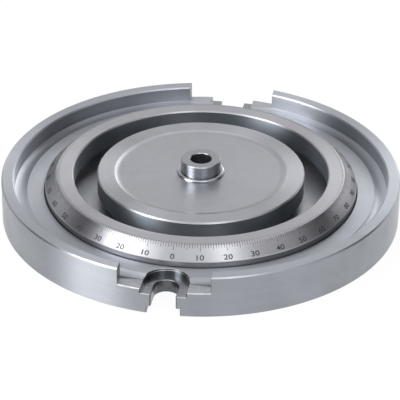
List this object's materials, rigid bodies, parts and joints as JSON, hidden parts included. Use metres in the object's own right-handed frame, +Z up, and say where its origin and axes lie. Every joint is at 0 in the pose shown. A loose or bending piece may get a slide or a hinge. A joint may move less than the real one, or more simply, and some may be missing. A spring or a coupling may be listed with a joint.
{
  "type": "rotary base plate",
  "caption": "Round steel rotary base: a rimmed base with open bolt slots carries a graduated table with an annular T-slot and a hollow centring spigot.",
  "frame": {"origin": "centre of the underside of the base ring, on the rotation axis", "axes": "+Z up along the rotation axis; the front lug with the zero of the scale is on -Y, the rear lug on +Y, +X to the right seen from the front"},
  "size_m": [0.3, 0.2994, 0.0446],
  "materials": {
    "base_steel": "fine turned, satin",
    "table_steel": "fine turned, ground faces",
    "ground_steel": "hardened and ground",
    "bearing_steel": "polished",
    "black_steel": "black oxide",
    "bronze": "turned",
    "cage_brass": "machined",
    "seal_rubber": "moulded"
  },
  "bodies": {
    "base": {"base_ring": "base_steel", "lower_race": "bearing_steel", "guide_bush": "bronze", "thrust_washer": "bronze", "wiper_ring": "seal_rubber", "bottom_cover": "base_steel", "cover_screws": "black_steel"},
    "table": {"graduated_table": "table_steel", "centre_disc": "table_steel", "disc_screws": "black_steel", "disc_dowels": "ground_steel", "disc_seal": "seal_rubber", "centre_spindle": "ground_steel", "spindle_key": "ground_steel", "flange_seal": "seal_rubber", "lock_washer": "ground_steel", "spindle_nut": "black_steel", "upper_race": "bearing_steel"},
    "cage": {"ball_cage": "cage_brass", "bearing_balls": "bearing_steel"}
  },
  "joints": [
    {"name": "table_rotation", "type": "hinge", "parent": "base", "child": "table", "pos_m": [0, 0, 0], "axis": [0, 0, 1], "continuous": true},
    {"name": "cage_rotation", "type": "hinge", "parent": "base", "child": "cage", "pos_m": [0, 0, 0], "axis": [0, 0, 1], "continuous": true}
  ],
  "couplings": [
    {"joint": "cage_rotation", "follows": "table_rotation", "ratio": 0.5}
  ]
}
